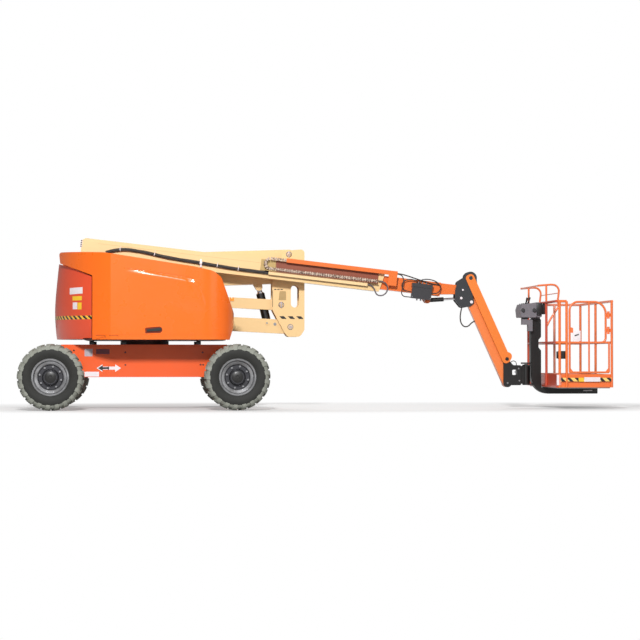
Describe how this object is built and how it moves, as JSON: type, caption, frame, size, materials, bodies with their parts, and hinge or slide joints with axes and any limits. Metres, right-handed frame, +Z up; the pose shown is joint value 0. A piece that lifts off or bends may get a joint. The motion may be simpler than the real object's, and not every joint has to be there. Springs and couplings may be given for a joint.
{
  "type": "articulating boom lift",
  "caption": "Self-propelled articulating boom lift with riser tower, telescopic boom, parallelogram jib and railed work platform, stowed on its wheels.",
  "frame": {"origin": "on the ground under the middle of the stowed machine's box", "axes": "+X from the steered front axle towards the work platform, -Y the machine's left-hand side, +Z up"},
  "size_m": [7.5919, 2.34, 2.2178],
  "materials": {
    "orange_paint": "gloss",
    "counterweight_paint": "gloss",
    "cream_paint": "satin",
    "black_paint": "satin",
    "dark_grey_paint": "satin",
    "hood_plastic": "gloss",
    "tyre_rubber": "matt",
    "rim_steel": "satin",
    "bare_steel": "machined",
    "chrome": "polished",
    "chain_plastic": "matt",
    "battery_case": "matt",
    "console_grey": "satin",
    "tread_plate": "satin",
    "hose_rubber": "matt"
  },
  "bodies": {
    "chassis": {"chassis_frame": "orange_paint", "slew_ring": "bare_steel", "front_axle": "black_paint", "rear_axle": "black_paint"},
    "knuckle_left": {"steer_knuckle_left": "black_paint"},
    "knuckle_right": {"steer_knuckle_right": "black_paint"},
    "tie_rod": {"tie_rod": "black_paint"},
    "turntable": {"turntable_base": "dark_grey_paint", "counterweight": "counterweight_paint", "battery_pack": "battery_case", "hydraulic_unit": "black_paint"},
    "hood_left": {"hood_left": "hood_plastic"},
    "hood_right": {"hood_right": "hood_plastic"},
    "lower_boom": {"lower_boom": "cream_paint"},
    "lower_link": {"lower_link": "cream_paint"},
    "elbow": {"elbow_upright": "cream_paint"},
    "mid_boom": {"mid_boom": "cream_paint"},
    "mid_link": {"mid_link": "cream_paint"},
    "mast_head": {"upper_upright": "cream_paint"},
    "riser_cylinder_barrel": {"riser_cylinder_barrel": "black_paint"},
    "riser_cylinder_stage": {"riser_cylinder_stage": "chrome"},
    "riser_cylinder_rod": {"riser_cylinder_rod": "chrome"},
    "main_boom": {"main_boom": "cream_paint", "hose_carrier_tray": "orange_paint", "hose_carrier_run": "chain_plastic", "boom_hose_bundle": "hose_rubber", "carrier_hose": "hose_rubber"},
    "lift_cylinder_barrel": {"lift_cylinder_barrel": "black_paint"},
    "lift_cylinder_rod": {"lift_cylinder_rod": "chrome"},
    "fly_boom": {"fly_boom": "orange_paint", "push_tube": "orange_paint", "fly_valve_box": "black_paint", "fly_hose_upper": "hose_rubber", "fly_hose_loop": "hose_rubber"},
    "hose_carrier": {"hose_carrier_chain": "chain_plastic"},
    "knuckle": {"jib_knuckle": "dark_grey_paint", "jib_hose": "hose_rubber"},
    "level_cylinder_barrel": {"level_cylinder_barrel": "black_paint"},
    "level_cylinder_rod": {"level_cylinder_rod": "chrome"},
    "jib_lower_arm": {"jib_lower_arm": "orange_paint"},
    "jib_upper_arm": {"jib_upper_arm": "orange_paint"},
    "jib_end": {"rotator_bracket": "black_paint", "rotator_hose": "hose_rubber"},
    "platform": {"platform_support": "black_paint", "platform_deck": "tread_plate", "basket_outer_rails": "orange_paint", "basket_boom_rails": "orange_paint", "basket_far_rails": "orange_paint", "basket_near_rails": "orange_paint", "guard_hoops": "orange_paint", "control_console": "console_grey"},
    "platform_gate": {"platform_gate": "orange_paint"},
    "wheel_front_left": {"tyre_front_left": "tyre_rubber", "rim_front_left": "rim_steel"},
    "wheel_front_right": {"tyre_front_right": "tyre_rubber", "rim_front_right": "rim_steel"},
    "wheel_rear_left": {"tyre_rear_left": "tyre_rubber", "rim_rear_left": "rim_steel"},
    "wheel_rear_right": {"tyre_rear_right": "tyre_rubber", "rim_rear_right": "rim_steel"}
  },
  "joints": [
    {"name": "steer_left", "type": "hinge", "parent": "chassis", "child": "knuckle_left", "pos_m": [-3.376, -0.8, 0.42], "axis": [0, 0, 1], "range_deg": [-30, 30]},
    {"name": "steer_right", "type": "hinge", "parent": "chassis", "child": "knuckle_right", "pos_m": [-3.376, 0.8, 0.42], "axis": [0, 0, 1], "range_deg": [-30, 30]},
    {"name": "tie_rod_slide", "type": "slide", "parent": "chassis", "child": "tie_rod", "axis": [0, -1, 0], "range_m": [-0.09688, 0.09688]},
    {"name": "wheel_front_left_spin", "type": "hinge", "parent": "knuckle_left", "child": "wheel_front_left", "pos_m": [-3.376, -1.015, 0.42], "axis": [0, 1, 0], "continuous": true},
    {"name": "wheel_front_right_spin", "type": "hinge", "parent": "knuckle_right", "child": "wheel_front_right", "pos_m": [-3.376, 1.015, 0.42], "axis": [0, 1, 0], "continuous": true},
    {"name": "wheel_rear_left_spin", "type": "hinge", "parent": "chassis", "child": "wheel_rear_left", "pos_m": [-1.036, -1.015, 0.42], "axis": [0, 1, 0], "continuous": true},
    {"name": "wheel_rear_right_spin", "type": "hinge", "parent": "chassis", "child": "wheel_rear_right", "pos_m": [-1.036, 1.015, 0.42], "axis": [0, 1, 0], "continuous": true},
    {"name": "swing", "type": "hinge", "parent": "chassis", "child": "turntable", "pos_m": [-2.206, 0, 0.9], "axis": [0, 0, 1], "range_deg": [-180, 180]},
    {"name": "hood_left_open", "type": "hinge", "parent": "turntable", "child": "hood_left", "pos_m": [-2.206, -0.4, 1.90671], "axis": [-0.9885, 0, 0.151], "range_deg": [0, 55]},
    {"name": "hood_right_open", "type": "hinge", "parent": "turntable", "child": "hood_right", "pos_m": [-2.206, 0.4, 1.90671], "axis": [0.9885, 0, -0.151], "range_deg": [0, 55]},
    {"name": "tower_lift", "type": "hinge", "parent": "turntable", "child": "lower_boom", "pos_m": [-2.686, 0.13, 1.195], "axis": [0, -1, 0], "range_deg": [0, 68]},
    {"name": "lower_link_turn", "type": "hinge", "parent": "turntable", "child": "lower_link", "pos_m": [-2.807, 0.13, 1.485], "axis": [0, -1, 0], "range_deg": [0, 68]},
    {"name": "elbow_level", "type": "hinge", "parent": "lower_boom", "child": "elbow", "pos_m": [-0.28929, 0.13, 1.06939], "axis": [0, -1, 0], "range_deg": [-68, 0]},
    {"name": "mid_boom_lift", "type": "hinge", "parent": "elbow", "child": "mid_boom", "pos_m": [-0.42629, 0.13, 1.73739], "axis": [0, -1, 0], "range_deg": [-68, 0]},
    {"name": "mid_link_turn", "type": "hinge", "parent": "elbow", "child": "mid_link", "pos_m": [-0.30529, 0.13, 2.02739], "axis": [0, -1, 0], "range_deg": [-68, 0]},
    {"name": "mast_head_level", "type": "hinge", "parent": "mid_boom", "child": "mast_head", "pos_m": [-2.82497, 0.13, 1.65782], "axis": [0, -1, 0], "range_deg": [0, 68]},
    {"name": "riser_cylinder_turn", "type": "hinge", "parent": "lower_boom", "child": "riser_cylinder_barrel", "pos_m": [-0.58829, 0.13, 1.12939], "axis": [0, -1, 0], "range_deg": [-71.18, 0]},
    {"name": "riser_cylinder_stage_slide", "type": "slide", "parent": "riser_cylinder_barrel", "child": "riser_cylinder_stage", "axis": [-0.2308, 0, 0.973], "range_m": [0, 0.33018]},
    {"name": "riser_cylinder_rod_slide", "type": "slide", "parent": "riser_cylinder_stage", "child": "riser_cylinder_rod", "axis": [-0.2308, 0, 0.973], "range_m": [0, 0.33018]},
    {"name": "boom_lift", "type": "hinge", "parent": "mast_head", "child": "main_boom", "pos_m": [-2.94257, -0.15, 1.89008], "axis": [0, -1, 0], "range_deg": [0, 79]},
    {"name": "lift_cylinder_turn", "type": "hinge", "parent": "mast_head", "child": "lift_cylinder_barrel", "pos_m": [-2.67257, -0.15, 1.60008], "axis": [0, -1, 0], "range_deg": [0, 75.65]},
    {"name": "lift_cylinder_slide", "type": "slide", "parent": "lift_cylinder_barrel", "child": "lift_cylinder_rod", "axis": [0.9759, 0, 0.2181], "range_m": [0, 0.50001]},
    {"name": "telescope", "type": "slide", "parent": "main_boom", "child": "fly_boom", "axis": [0.9936, 0, -0.1132], "range_m": [0, 2.8], "deforming": ["hose_carrier_run"]},
    {"name": "hose_carrier_travel", "type": "slide", "parent": "main_boom", "child": "hose_carrier", "axis": [0.9936, 0, -0.1132], "range_m": [0, 1.4]},
    {"name": "knuckle_level", "type": "hinge", "parent": "fly_boom", "child": "knuckle", "pos_m": [1.979, -0.15, 1.56], "axis": [0, -1, 0], "range_deg": [-79, 0]},
    {"name": "level_cylinder_turn", "type": "hinge", "parent": "fly_boom", "child": "level_cylinder_barrel", "pos_m": [1.514, -0.15, 1.424], "axis": [0, -1, 0], "range_deg": [0, 17.65]},
    {"name": "level_cylinder_slide", "type": "slide", "parent": "level_cylinder_barrel", "child": "level_cylinder_rod", "axis": [0.9981, 0, 0.0608], "range_m": [-0.06449, 0]},
    {"name": "jib_lift", "type": "hinge", "parent": "knuckle", "child": "jib_lower_arm", "pos_m": [2.094, -0.15, 1.4], "axis": [0, -1, 0], "range_deg": [0, 140], "deforming": ["jib_hose"]},
    {"name": "jib_upper_turn", "type": "hinge", "parent": "knuckle", "child": "jib_upper_arm", "pos_m": [2.084, -0.15, 1.718], "axis": [0, -1, 0], "range_deg": [0, 140]},
    {"name": "jib_end_level", "type": "hinge", "parent": "jib_lower_arm", "child": "jib_end", "pos_m": [2.576, -0.15, 0.33], "axis": [0, -1, 0], "range_deg": [-140, 0]},
    {"name": "platform_rotate", "type": "hinge", "parent": "jib_end", "child": "platform", "pos_m": [2.839, -0.15, 0.4], "axis": [0, 0, 1], "range_deg": [-90, 90]},
    {"name": "gate_swing", "type": "hinge", "parent": "platform", "child": "platform_gate", "pos_m": [3.734, -1.048, 0.9], "axis": [0, 0, -1], "range_deg": [0, 85]}
  ],
  "couplings": [
    {"joint": "steer_right", "follows": "steer_left", "ratio": 1},
    {"joint": "tie_rod_slide", "follows": "steer_left", "m_per_rad": 0.185},
    {"joint": "lower_link_turn", "follows": "tower_lift", "ratio": 1},
    {"joint": "elbow_level", "follows": "tower_lift", "ratio": -1},
    {"joint": "mid_boom_lift", "follows": "tower_lift", "ratio": -1},
    {"joint": "mid_link_turn", "follows": "tower_lift", "ratio": -1},
    {"joint": "mast_head_level", "follows": "tower_lift", "ratio": 1},
    {"joint": "riser_cylinder_turn", "follows": "tower_lift", "ratio": -1.0467},
    {"joint": "riser_cylinder_stage_slide", "follows": "tower_lift", "m_per_rad": 0.2782},
    {"joint": "riser_cylinder_rod_slide", "follows": "tower_lift", "m_per_rad": 0.2782},
    {"joint": "lift_cylinder_turn", "follows": "boom_lift", "ratio": 0.95759},
    {"joint": "lift_cylinder_slide", "follows": "boom_lift", "m_per_rad": 0.36263},
    {"joint": "hose_carrier_travel", "follows": "telescope", "ratio": 0.5},
    {"joint": "knuckle_level", "follows": "boom_lift", "ratio": -1},
    {"joint": "level_cylinder_turn", "follows": "boom_lift", "ratio": 0.22343},
    {"joint": "level_cylinder_slide", "follows": "boom_lift", "m_per_rad": -0.046773},
    {"joint": "jib_upper_turn", "follows": "jib_lift", "ratio": 1},
    {"joint": "jib_end_level", "follows": "jib_lift", "ratio": -1}
  ]
}
